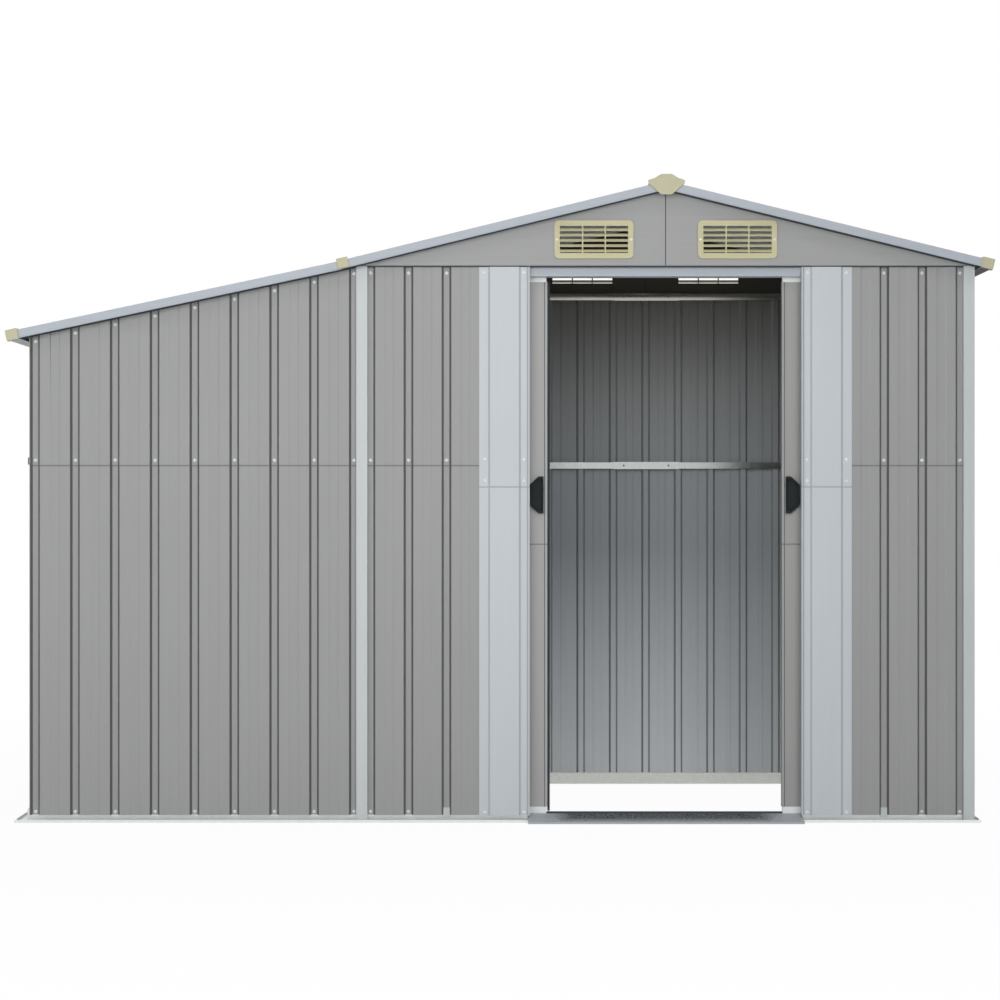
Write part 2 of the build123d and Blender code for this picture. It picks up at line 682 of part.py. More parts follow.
handle = extrude(handle_face(handle_width, handle_height), handle_depth, dir=(0, 0, 1))
pocket_face = handle_face(handle_width - handle_wall * 2, handle_height - handle_wall * 4)
pocket = Pos(-handle_wall, 0, handle_floor) * extrude(pocket_face, handle_depth, dir=(0, 0, 1))
handle = handle - pocket
handle = Pos(-open_half - handle_inset, -door_face - fit_gap, handle_level) * (Rot(90, 0, 0) * handle)
keep("left_door_handle", handle)
keep("right_door_handle", across(handle))

# Every piece goes out in the frame at the middle of the roof
os.makedirs("parts", exist_ok=True)
for name, solids in nodes.items():
    placed = [Pos(main_centre, 0, 0) * solid for solid in solids]
    export_step(Compound(placed), f"parts/{name}.step")
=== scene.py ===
"""Dressed model of a grey sheet-metal storage shed with sliding doors and a lean-to bay.

Sizes are in millimetres from the main ridge line, the ground and the middle of the depth.
They become metres in the row frame when a piece is built.
"""

import logging
import math
from dataclasses import dataclass
from enum import Enum
from random import Random

import bmesh
import bpy
from mathutils import Matrix, Vector


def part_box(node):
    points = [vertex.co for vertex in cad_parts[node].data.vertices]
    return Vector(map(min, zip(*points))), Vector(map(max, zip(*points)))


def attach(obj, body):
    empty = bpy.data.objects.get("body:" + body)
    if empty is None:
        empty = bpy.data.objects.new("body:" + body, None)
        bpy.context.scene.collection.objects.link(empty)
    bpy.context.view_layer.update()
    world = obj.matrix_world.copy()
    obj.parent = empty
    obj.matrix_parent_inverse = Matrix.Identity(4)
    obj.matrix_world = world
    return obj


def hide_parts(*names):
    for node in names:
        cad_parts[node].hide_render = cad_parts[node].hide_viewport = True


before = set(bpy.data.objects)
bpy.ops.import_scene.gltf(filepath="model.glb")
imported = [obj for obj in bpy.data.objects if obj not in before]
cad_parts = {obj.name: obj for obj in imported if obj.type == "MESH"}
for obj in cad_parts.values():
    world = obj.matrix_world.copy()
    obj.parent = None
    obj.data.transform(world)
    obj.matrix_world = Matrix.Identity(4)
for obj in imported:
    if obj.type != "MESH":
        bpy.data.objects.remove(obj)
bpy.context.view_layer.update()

LOG = logging.getLogger("shed")
MM = 0.001
RIDGE_X = 464.0

# Corners of a CAD mesh nearer than WELD are one, and slivers thinner than SLIVER are dropped.
WELD, SLIVER = 0.004, 0.002
# Edges flatter than FLAT vanish. Folds sharper than LEAST_FOLD are rounded, up to SHEET_FOLD on a sheet
# and up to PIECE_FOLD on another piece, where they are longer than SHEET_EDGE or PIECE_EDGE.
FLAT, LEAST_FOLD = math.radians(0.4), math.radians(12)
SHEET_FOLD, PIECE_FOLD = math.radians(80), math.radians(170)
SHEET_EDGE, PIECE_EDGE = 120.0, 1.5
# A face belongs to the back of a sheet where its normal goes this far that way.
BACK_FACING = 0.3


@dataclass(frozen=True)
class Plan:
    """Shared planes of the shed, measured from the main ridge line and the ground."""

    main_half: float = 867.0
    main_edge: float = 905.0
    lean_end: float = 1783.9
    wall_top: float = 1560.0
    roof_lift: float = 7.0
    lap: float = 1.3
    main_slope: float = 0.2447
    lean_slope: float = 0.2124
    pan: float = 500.0
    side_pan: float = 865.0
    valley: float = 12.0
    gable_face: float = 508.0
    roof_first: float = 481.6
    roof_pitch: float = 107.02
    roof_valleys: int = 10
    open_half: float = 330.5
    door_face: float = 459.0

    def main_under(self, distance: float) -> float:
        """Height of the main roof's underside at a distance from the ridge."""
        return self.wall_top + self.roof_lift + self.main_slope * (self.main_half - distance)

    def lean_under(self, distance: float) -> float:
        """Height of the lean-to roof's underside at a distance from the ridge."""
        return self.main_under(self.main_edge) - self.lap - self.lean_slope * (distance - self.main_edge)


PLAN = Plan()


class Side(Enum):
    """Walls of the shed by the way they face: (along, outward) in the ground plane."""

    FRONT = ((1.0, 0.0), (0.0, -1.0))
    BACK = ((-1.0, 0.0), (0.0, 1.0))
    RIGHT = ((0.0, 1.0), (1.0, 0.0))
    LEFT = ((0.0, -1.0), (-1.0, 0.0))


class Fold(Enum):
    """Row axis that the folds of a ribbed sheet turn towards."""

    ALONG_X = "X"
    ALONG_Y = "Y"


class Grain(Enum):
    """Way that the rolling lines of a sheet run, as stretch factors along X, Y and Z."""

    UPRIGHT = (1.0, 1.0, 0.03)
    CROSSWISE = (0.03, 1.0, 1.0)
    LENGTHWISE = (1.0, 0.03, 1.0)


def linear(code: str) -> tuple[float, float, float, float]:
    """Turn an sRGB hex colour into linear values.

    Args:
        code: Six hex digits.

    Returns:
        Red, green, blue and alpha in linear light.
    """
    parts = [int(code[i:i + 2], 16) / 255 for i in (0, 2, 4)]
    knee, slope, lift, power = 0.04045, 12.92, 0.055, 2.4
    shades = [p / slope if p <= knee else ((p + lift) / (1 + lift)) ** power for p in parts]
    return (shades[0], shades[1], shades[2], 1.0)


def add_node(
    tree: bpy.types.NodeTree, kind: str, inputs: dict | None = None, **settings: object,
) -> bpy.types.Node:
    """Add one node with its settings, socket values and links.

    Args:
        tree: Node tree that gets the node.
        kind: Blender's name of the node type.
        inputs: Socket name or number to a value, or to the output socket that feeds it.
        settings: Attributes of the node.

    Returns:
        The new node.
    """
    node = tree.nodes.new(kind)
    for name, value in settings.items():
        setattr(node, name, value)
    for name, value in (inputs or {}).items():
        if isinstance(value, bpy.types.NodeSocket):
            tree.links.new(value, node.inputs[name])
        else:
            node.inputs[name].default_value = value
    return node


def blank_material(name: str) -> bpy.types.Material:
    """Make a node material with an empty tree.

    Args:
        name: Name of the finish.

    Returns:
        The material.
    """
    material = bpy.data.materials.new(name)
    material.use_nodes = True
    material.node_tree.nodes.clear()
    return material


def per_metre(size: float) -> float:
    """Texture scale that gives features of a size in millimetres."""
    return 1.0 / (size * MM)


@dataclass(frozen=True)
class CoatedSheet:
    """Coil-coated steel: a flat polyester paint with a faint peel and long rolling lines."""

    name: str
    colour: str
    shade: str
    grain: Grain
    roughness: float = 0.42
    seam_level: float | None = None
    seam_shade: float = 0.6
    seam_height: float = 4.2
    fold: Fold | None = None
    fold_shade: float = 0.42
    fold_start: float = 0.5
    fold_blend: float = 0.35
    fade: tuple[tuple[float, float, str], ...] = ()
    patch_size: float = 420.0
    line_size: float = 16.0
    tone_range: tuple[float, float] = (0.7, 1.3)
    peel_size: float = 2.2
    peel_depth: float = 0.1
    peel_strength: float = 0.12
    gloss_spread: float = 0.05
    ior: float = 1.48

    def build(self) -> bpy.types.Material:
        """Make the node material.

        Returns:
            The material.
        """
        material = blank_material(self.name)
        tree = material.node_tree
        place = add_node(tree, "ShaderNodeTexCoord").outputs["Object"]
        patch = add_node(
            tree, "ShaderNodeTexNoise",
            {"Vector": place, "Scale": per_metre(self.patch_size), "Detail": 3.0},
        )
        long_place = add_node(tree, "ShaderNodeMapping", {"Vector": place, "Scale": self.grain.value})
        lines = add_node(
            tree, "ShaderNodeTexNoise",
            {"Vector": long_place.outputs[0], "Scale": per_metre(self.line_size), "Detail": 2.0},
        )
        blend = add_node(tree, "ShaderNodeMath", {0: patch.outputs[0], 1: lines.outputs[0]}, operation="ADD")
        low, high = self.tone_range
        spread = add_node(
            tree, "ShaderNodeMapRange", {"Value": blend.outputs[0], "From Min": low, "From Max": high},
        )
        tone = add_node(
            tree, "ShaderNodeMix",
            {"Factor": spread.outputs[0], 6: linear(self.shade), 7: linear(self.colour)}, data_type="RGBA",
        ).outputs[2]
        # Painted shade: a thin dark line under the lap edge.
        if self.seam_level is not None:
            level = add_node(tree, "ShaderNodeSeparateXYZ", {0: place}).outputs["Z"]
            middle = (self.seam_level - self.seam_height / 2) * MM
            line = add_node(
                tree, "ShaderNodeMath", {0: level, 1: middle, 2: self.seam_height / 2 * MM},
                operation="COMPARE",
            ).outputs[0]
            tone = self.darkened(tree, tone, line, self.seam_shade)
        for low, high, shade_tone in self.fade:
            # Painted shade: inside, the coat darkens towards the roof, where less light reaches.
            level = add_node(tree, "ShaderNodeSeparateXYZ", {0: place}).outputs["Z"]
            shade_share = add_node(
                tree, "ShaderNodeMapRange", {"Value": level, "From Min": low * MM, "From Max": high * MM},
            )
            tone = add_node(
                tree, "ShaderNodeMix", {"Factor": shade_share.outputs[0], 6: tone, 7: linear(shade_tone)},
                data_type="RGBA",
            ).outputs[2]
        if self.fold is not None:
            # Painted shade: the steep flanks of the valleys are darkened, which reads as fine dark lines.
            facing = add_node(tree, "ShaderNodeNewGeometry").outputs["True Normal"]
            slant = add_node(tree, "ShaderNodeSeparateXYZ", {0: facing}).outputs[self.fold.value]
            steep = add_node(tree, "ShaderNodeMath", {0: slant}, operation="ABSOLUTE").outputs[0]
            full = self.fold_start + self.fold_blend
            flank = add_node(
                tree, "ShaderNodeMapRange", {"Value": steep, "From Min": self.fold_start, "From Max": full},
            ).outputs[0]
            tone = self.darkened(tree, tone, flank, self.fold_shade)
        peel = add_node(
            tree, "ShaderNodeTexNoise",
            {"Vector": place, "Scale": per_metre(self.peel_size), "Detail": 1.0},
        )
        bump = add_node(
            tree, "ShaderNodeBump",
            {"Height": peel.outputs[0], "Strength": self.peel_strength, "Distance": self.peel_depth * MM},
        )
        dull, shiny = self.roughness + self.gloss_spread, self.roughness - self.gloss_spread
        gloss = add_node(
            tree, "ShaderNodeMapRange", {"Value": lines.outputs[0], "To Min": shiny, "To Max": dull},
        )
        surface = add_node(
            tree, "ShaderNodeBsdfPrincipled",
            {"Base Color": tone, "Roughness": gloss.outputs[0], "IOR": self.ior, "Normal": bump.outputs[0]},
        )
        add_node(tree, "ShaderNodeOutputMaterial", {"Surface": surface.outputs[0]})
        return material

    def darkened(
        self, tree: bpy.types.NodeTree, tone: bpy.types.NodeSocket, share: bpy.types.NodeSocket,
        shade: float,
    ) -> bpy.types.NodeSocket:
        """Blend the paint into a darker one.

        Args:
            tree: Node tree of the finish.
            tone: Colour so far.
            share: How much of the dark paint shows.
            shade: Its lightness against the paint.

        Returns:
            The blended colour.
        """
        dark = tuple(c * shade for c in linear(self.shade)[:3]) + (1.0,)
        mix = add_node(tree, "ShaderNodeMix", {"Factor": share, 6: tone, 7: dark}, data_type="RGBA")
        return mix.outputs[2]


@dataclass(frozen=True)
class ZincSheet:
    """Hot-dip galvanised steel: a dull mirror of zinc with soft spangle crystals."""

    name: str
    colour: str
    shade: str
    roughness: float = 0.36
    spread: float = 0.03
    spangle_size: float = 9.0

    def build(self) -> bpy.types.Material:
        """Make the node material.

        Returns:
            The material.
        """
        material = blank_material(self.name)
        tree = material.node_tree
        place = add_node(tree, "ShaderNodeTexCoord").outputs["Object"]
        crystals = add_node(
            tree, "ShaderNodeTexVoronoi", {"Vector": place, "Scale": per_metre(self.spangle_size)},
        )
        grey = add_node(tree, "ShaderNodeSeparateColor", {0: crystals.outputs["Color"]})
        tone = add_node(
            tree, "ShaderNodeMix",
            {"Factor": grey.outputs[0], 6: linear(self.shade), 7: linear(self.colour)}, data_type="RGBA",
        )
        dull, shiny = self.roughness + self.spread, self.roughness - self.spread
        gloss = add_node(
            tree, "ShaderNodeMapRange", {"Value": grey.outputs[1], "To Min": shiny, "To Max": dull},
        )
        surface = add_node(
            tree, "ShaderNodeBsdfPrincipled",
            {"Base Color": tone.outputs[2], "Roughness": gloss.outputs[0], "Metallic": 1.0},
        )
        add_node(tree, "ShaderNodeOutputMaterial", {"Surface": surface.outputs[0]})
        return material


@dataclass(frozen=True)
class MouldedPlastic:
    """Injection-moulded plastic: even colour, a soft gloss and a fine spark-eroded grain."""

    name: str
    colour: str
    shade: str
    roughness: float = 0.45
    grain_size: float = 1.2
    grain_depth: float = 0.15
    grain_strength: float = 0.25
    mottle_size: float = 60.0
    ior: float = 1.5

    def build(self) -> bpy.types.Material:
        """Make the node material.

        Returns:
            The material.
        """
        material = blank_material(self.name)
        tree = material.node_tree
        place = add_node(tree, "ShaderNodeTexCoord").outputs["Object"]
        mottle = add_node(
            tree, "ShaderNodeTexNoise",
            {"Vector": place, "Scale": per_metre(self.mottle_size), "Detail": 3.0},
        )
        tone = add_node(
            tree, "ShaderNodeMix",
            {"Factor": mottle.outputs[0], 6: linear(self.shade), 7: linear(self.colour)}, data_type="RGBA",
        )
        grain = add_node(
            tree, "ShaderNodeTexNoise",
            {"Vector": place, "Scale": per_metre(self.grain_size), "Detail": 2.0},
        )
        bump = add_node(
            tree, "ShaderNodeBump",
            {"Height": grain.outputs[0], "Strength": self.grain_strength, "Distance": self.grain_depth * MM},
        )
        surface = add_node(
            tree, "ShaderNodeBsdfPrincipled",
            {
                "Base Color": tone.outputs[2], "Roughness": self.roughness, "IOR": self.ior,
                "Normal": bump.outputs[0],
            },
        )
        add_node(tree, "ShaderNodeOutputMaterial", {"Surface": surface.outputs[0]})
        return material


@dataclass(frozen=True)
class GritTread:
    """Dark grit strip: crushed stone set in resin, so it is rough and speckled; its dark patch is also a
    painted reflection of the dark room in the sill.
    """

    name: str
    colour: str
    speck: str
    edge: str
    fade_front: tuple[float, float] = (506.0, 548.0)
    fade_ends: tuple[float, float] = (262.0, 322.0)
    grit_size: float = 5.0
    grit_depth: float = 1.0
    grit_strength: float = 0.6
    speck_range: tuple[float, float] = (0.41, 0.63)
    roughness: float = 0.85

    def build(self) -> bpy.types.Material:
        """Make the node material.

        Returns:
            The material.
        """
        material = blank_material(self.name)
        tree = material.node_tree
        place = add_node(tree, "ShaderNodeTexCoord").outputs["Object"]
        grit = add_node(
            tree, "ShaderNodeTexNoise",
            {"Vector": place, "Scale": per_metre(self.grit_size), "Detail": 4.0},
        )
        low, high = self.speck_range
        spread = add_node(
            tree, "ShaderNodeMapRange", {"Value": grit.outputs[0], "From Min": low, "From Max": high},
        )
        tone = add_node(
            tree, "ShaderNodeMix",
            {"Factor": spread.outputs[0], 6: linear(self.colour), 7: linear(self.speck)}, data_type="RGBA",
        )
        # Painted reflection: the dark patch blends into the sill's colour towards the lip and the ends.
        parts = add_node(tree, "ShaderNodeSeparateXYZ", {0: place})
        middle = add_node(
            tree, "ShaderNodeMath", {0: parts.outputs["X"], 1: RIDGE_X * MM}, operation="SUBTRACT",
        )
        aside = add_node(tree, "ShaderNodeMath", {0: middle.outputs[0]}, operation="ABSOLUTE")
        ahead = add_node(tree, "ShaderNodeMath", {0: parts.outputs["Y"], 1: -1.0}, operation="MULTIPLY")
        edge_fades = []
        for value, (low, high) in ((ahead, self.fade_front), (aside, self.fade_ends)):
            limits = {"Value": value.outputs[0], "From Min": low * MM, "From Max": high * MM}
            edge_fades.append(add_node(tree, "ShaderNodeMapRange", limits).outputs[0])
        sill_showing = add_node(tree, "ShaderNodeMath", {0: edge_fades[0], 1: edge_fades[1]}, operation="MAXIMUM")
        tone = add_node(
            tree, "ShaderNodeMix",
            {"Factor": sill_showing.outputs[0], 6: tone.outputs[2], 7: linear(self.edge)}, data_type="RGBA",
        )
        bump = add_node(
            tree, "ShaderNodeBump",
            {"Height": grit.outputs[0], "Strength": self.grit_strength, "Distance": self.grit_depth * MM},
        )
        surface = add_node(
            tree, "ShaderNodeBsdfPrincipled",
            {"Base Color": tone.outputs[2], "Roughness": self.roughness, "Normal": bump.outputs[0]},
        )
        add_node(tree, "ShaderNodeOutputMaterial", {"Surface": surface.outputs[0]})
        return material


Finish = CoatedSheet | ZincSheet | MouldedPlastic | GritTread

# Heights of the laps, where a thin line of painted shade under the lap edge shows on the walls, the jamb panels
# and the doors.
WALL_LAP, JAMB_LAP, DOOR_LAP = 1002.0, 942.0, 781.0
# Lowest and highest level of each stretch of painted shade inside, and its colour: the coat darkens towards the
# roof.
PAINTED_SHADE_INSIDE = ((0.0, 750.0, "a9aeb1"), (950.0, 1560.0, "716f69"))

WALL_GREY = CoatedSheet(
    "coil_coated_grey_sheet", "9e9e9e", "9b9b9b", Grain.UPRIGHT, seam_level=WALL_LAP, fold=Fold.ALONG_X,
)
SIDE_GREY = CoatedSheet(
    "coil_coated_side_sheet", "a1a1a1", "9e9e9e", Grain.UPRIGHT, seam_level=WALL_LAP, fold=Fold.ALONG_Y,
)
GABLE_GREY = CoatedSheet("coil_coated_gable_sheet", "a1a1a1", "9e9e9e", Grain.CROSSWISE)
ROOF_GREY = CoatedSheet("coil_coated_roof_sheet", "9e9fa1", "9a9b9d", Grain.CROSSWISE, fold=Fold.ALONG_Y)
RIDGE_GREY = CoatedSheet("coil_coated_ridge_sheet", "9e9fa1", "9a9b9d", Grain.LENGTHWISE)
BACK_COAT = CoatedSheet(
    "primer_backing_coat", "edf1f3", "e7ecee", Grain.UPRIGHT, roughness=0.5,
    fold=Fold.ALONG_X, fold_shade=0.4, fade=PAINTED_SHADE_INSIDE,
)
SIDE_COAT = CoatedSheet(
    "primer_side_coat", "edf1f3", "e7ecee", Grain.UPRIGHT, roughness=0.5,
    fold=Fold.ALONG_Y, fold_shade=0.4, fade=PAINTED_SHADE_INSIDE,
)
# Painted shade: the backs of the gables are dark, for the shade in the roof space.
GABLE_BACK_SHADE = CoatedSheet("gable_back_painted_shade", "4b463d", "464138", Grain.CROSSWISE, roughness=0.6)
ROOF_COAT = CoatedSheet("primer_roof_coat", "d0d4d6", "cbcfd1", Grain.CROSSWISE, roughness=0.5)
# Painted shade for the underside of the right eave.
EAVE_UNDERSIDE_SHADE = CoatedSheet("eave_underside_painted_shade", "2a2624", "262321", Grain.LENGTHWISE, roughness=0.6)
# Painted shade: the door floor track is dark, for the shade behind the sill.
TRACK_SHADE = CoatedSheet("floor_track_painted_shade", "4a4f53", "454a4e", Grain.CROSSWISE, roughness=0.5)
JAMB_PALE = CoatedSheet(
    "coil_coated_pale_sheet", "c8cdd1", "c4cacd", Grain.UPRIGHT, seam_level=JAMB_LAP, seam_shade=0.75,
    fold=Fold.ALONG_X, fold_shade=0.72, fold_start=0.25,
)
POST_PALE = CoatedSheet("coil_coated_post", "cacfcf", "c4c9c8", Grain.UPRIGHT)
TRIM_BLUE = CoatedSheet("coil_coated_blue_trim", "b6bcc3", "b0b7bd", Grain.CROSSWISE)
SILL_BLUE = CoatedSheet("coil_coated_sill", "b4babf", "aeb4b9", Grain.CROSSWISE)
# Painted light and shade: one door paint, lighter on the left door and darker on the right, as light falls more
# on the left.
LEFT_TAUPE_LIT = CoatedSheet(
    "left_door_painted_light", "acacaa", "a8a8a6", Grain.UPRIGHT, seam_level=DOOR_LAP, fold=Fold.ALONG_X,
)
RIGHT_TAUPE_SHADED = CoatedSheet(
    "right_door_painted_shade", "a1a19f", "9d9d9b", Grain.UPRIGHT, seam_level=DOOR_LAP, fold=Fold.ALONG_X,
)
RAIL_ZINC = ZincSheet("galvanised_rail", "c0c5c4", "bcc1c0", roughness=0.22)
# Painted shade: the top rail's zinc is darker and warmer than the other rails, for the shade at the top of the
# room.
CROWN_ZINC_SHADED = ZincSheet("top_rail_zinc_painted_shade", "b0afa7", "acaba3", roughness=0.24)
FOOT_ZINC = ZincSheet("galvanised_foot_rail", "bec0bb", "babcb7", roughness=0.24)
BASE_ZINC = ZincSheet("bright_galvanised_base", "e7ebea", "e1e5e4", roughness=0.45)
CREAM_PLASTIC = MouldedPlastic("moulded_cream_plastic", "c4c0a2", "bdb99a")
VENT_CREAM = MouldedPlastic("moulded_vent_plastic", "cac5a0", "c3be98")
PLUG_GREY = MouldedPlastic("moulded_grey_plug", "94989a", "8e9294", roughness=0.6)
GLIDER_WHITE = MouldedPlastic("moulded_white_nylon", "f2f4f3", "ebedec", roughness=0.4)
HANDLE_BLACK = MouldedPlastic("moulded_black_plastic", "1f2426", "1a1f21", roughness=0.6, ior=1.35)
SEAL_RUBBER = MouldedPlastic("extruded_dark_rubber", "343b41", "2e353a", roughness=0.7, ior=1.4)
# Painted shade: a grey bead beside each stile gives the dark line of the shaded gap between stile and leaf.
BEAD_SHADE_GREY = MouldedPlastic("door_bead_painted_shade", "66686a", "606264", roughness=0.6)
# Dark foam, which also stands for painted shadow lines under the verges and above the head track.
FOAM_SHADE = MouldedPlastic(
    "closed_cell_foam_painted_shade", "4c5256", "474d50", roughness=0.9, grain_size=2.5, grain_depth=0.4,
)
SCREW_WHITE = MouldedPlastic("painted_screw_head", "eef0f0", "e6e9e9", roughness=0.35)
SCREW_ZINC = ZincSheet("zinc_plated_screw", "8f9494", "7d8282", roughness=0.3, spangle_size=3.0)
SILL_GRIT_REFLECTION = GritTread("grit_strip_painted_reflection", "393d40", "868a8d", "b4babf")


def made_material(finish: Finish) -> bpy.types.Material:
    """Give the material of a finish, built the first time it is asked for.

    Args:
        finish: The finish.

    Returns:
        Its material.
    """
    return bpy.data.materials.get(finish.name) or finish.build()


def spot(side: Side, along: float, up: float, out: float) -> Matrix:
    """Frame on a wall, with X along it, Y up and Z outward.

    Args:
        side: Wall that the frame is on.
        along: Place along the wall from its middle line, in millimetres.
        up: Height above the ground in millimetres.
        out: Distance of the surface from the middle, in millimetres.

    Returns:
        Matrix from the frame to the row frame, in metres.
    """
    (ax, ay), (ox, oy) = side.value
    origin = Vector((RIDGE_X + ax * along + ox * out, ay * along + oy * out, up)) * MM
    turn = Matrix(((ax, 0.0, ox), (ay, 0.0, oy), (0.0, 1.0, 0.0)))
    return Matrix.Translation(origin) @ turn.to_4x4()


def add_piece(name: str, shape: bmesh.types.BMesh, finish: Finish, body: str) -> bpy.types.Object:
    """Turn a finished bmesh into a piece that rides on a body.

    Args:
        name: Name of the piece.
        shape: Its geometry in the row frame, freed here.
        finish: Its finish.
        body: CAD body that carries it.

    Returns:
        The piece.
    """
    mesh = bpy.data.meshes.new(name)
    shape.to_mesh(mesh)
    shape.free()
    mesh.materials.append(made_material(finish))
    piece = bpy.data.objects.new(name, mesh)
    bpy.context.scene.collection.objects.link(piece)
    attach(piece, body)
    LOG.info("%s rides on %s, %d faces", name, body, len(mesh.polygons))
    return piece


def rounded(shape: bmesh.types.BMesh, edges: list, radius: float, segments: int = 2) -> None:
    """Round edges of a bmesh.

    Args:
        shape: The bmesh.
        edges: Its edges to round.
        radius: Radius in millimetres.
        segments: Steps across the rounding.
    """
    bmesh.ops.bevel(
        shape, geom=edges, offset=radius * MM, offset_type="OFFSET", segments=segments, profile=0.5,
        affect="EDGES", clamp_overlap=True, material=-1,
    )


def soften(
    node: str, finish: Finish, body: str, radius: float, longest: bool = False,
    inward: Vector | None = None, coat: CoatedSheet = BACK_COAT,
) -> bpy.types.Object:
    """Stand a copy with rounded folds in the place of a CAD node.

    Args:
        node: Name of the node.
        finish: Its finish.
        body: Body that carries it.
        radius: Fold radius in millimetres.
        longest: Round only the long folds of a sheet and leave its cut edges sharp.
        inward: Way that the back of a sheet faces, where it has a backing coat.
        coat: That backing coat.

    Returns:
        The piece.
    """
    shape = bmesh.new()
    shape.from_mesh(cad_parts[node].data)
    bmesh.ops.remove_doubles(shape, verts=shape.verts, dist=WELD * MM)
    bmesh.ops.dissolve_limit(shape, angle_limit=FLAT, verts=shape.verts, edges=shape.edges)
    sharpest = SHEET_FOLD if longest else PIECE_FOLD
    shortest = (SHEET_EDGE if longest else PIECE_EDGE) * MM
    folds = [
        e for e in shape.edges
        if len(e.link_faces) == 2 and LEAST_FOLD < e.calc_face_angle() < sharpest and e.calc_length() > shortest
    ]
    rounded(shape, folds, radius)
    bmesh.ops.dissolve_degenerate(shape, edges=shape.edges, dist=SLIVER * MM)
    if inward is not None:
        shape.normal_update()
        for face in shape.faces:
            face.material_index = int(face.normal.dot(inward) > BACK_FACING)
    piece = add_piece(f"{node}_finish", shape, finish, body)
    if inward is not None:
        piece.data.materials.append(made_material(coat))
    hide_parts(node)
    return piece


def swept(
    name: str, section: list[Vector], path: Vector, finish: Finish, body: str, radius: float,
) -> bpy.types.Object:
    """Push a section along a straight path and round its edges.

    Args:
        name: Name of the piece.
        section: Corners of the section in millimetres from the ridge line.
        path: Sweep in millimetres.
        finish: Its finish.
        body: Body that carries it.
        radius: Edge radius in millimetres.

    Returns:
        The piece.
    """
    shape = bmesh.new()
    base = Vector((RIDGE_X, 0.0, 0.0))
    face = shape.faces.new([shape.verts.new((base + corner) * MM) for corner in section])
    made = bmesh.ops.extrude_face_region(shape, geom=[face])
    moved = [v for v in made["geom"] if isinstance(v, bmesh.types.BMVert)]
    bmesh.ops.translate(shape, verts=moved, vec=path * MM)
    bmesh.ops.recalc_face_normals(shape, faces=shape.faces)
    rounded(shape, list(shape.edges), radius)
    return add_piece(name, shape, finish, body)


@dataclass
class Screws:
    """Self-drilling screws with a domed washer, white where they show."""

    washer_radius: float = 5.1
    washer_height: float = 1.4
    head_radius: float = 3.5
    head_height: float = 2.6
    dome_share: float = 1.15
    taper: float = 0.8
    recess_share: float = 0.35
    recess_depth: float = 0.8
    sides: int = 12

    def one(self, shape: bmesh.types.BMesh, place: Matrix, grow: float = 1.0) -> None:
        """Add one screw.

        Args:
            shape: Bmesh that gets it.
            place: Frame of its seat, with Z outward.
            grow: Size against the usual one.
        """
        washer, head = self.washer_height * grow * MM, self.head_height * grow * MM
        bmesh.ops.create_cone(
            shape, cap_ends=True, segments=self.sides, radius1=self.washer_radius * grow * MM,
            radius2=self.head_radius * self.dome_share * grow * MM, depth=washer,
            matrix=place @ Matrix.Translation((0, 0, washer / 2)),
        )
        made = bmesh.ops.create_cone(
            shape, cap_ends=True, segments=self.sides, radius1=self.head_radius * grow * MM,
            radius2=self.head_radius * self.taper * grow * MM, depth=head,
            matrix=place @ Matrix.Translation((0, 0, washer + head / 2)),
        )
        middle = place @ Vector((0, 0, washer + head))
        top = [f for v in made["verts"] for f in v.link_faces if len(f.verts) == self.sides]
        top = min(top, key=lambda f: (f.calc_center_median() - middle).length)
        rim = self.head_radius * self.recess_share * grow * MM
        bmesh.ops.inset_individual(shape, faces=[top], thickness=rim, depth=-self.recess_depth * grow * MM)

    def group(self, name: str, places: list[Matrix], grow: float = 1.0, finish: Finish = SCREW_WHITE) -> None:
        """Make one piece of many screws on the shed.

        Args:
            name: Name of the piece.
            places: Frames of the seats.
            grow: Size against the usual one.
            finish: Finish of the heads.
        """
        shape = bmesh.new()
        for place in places:
            self.one(shape, place, grow)
        add_piece(name, shape, finish, "shed")


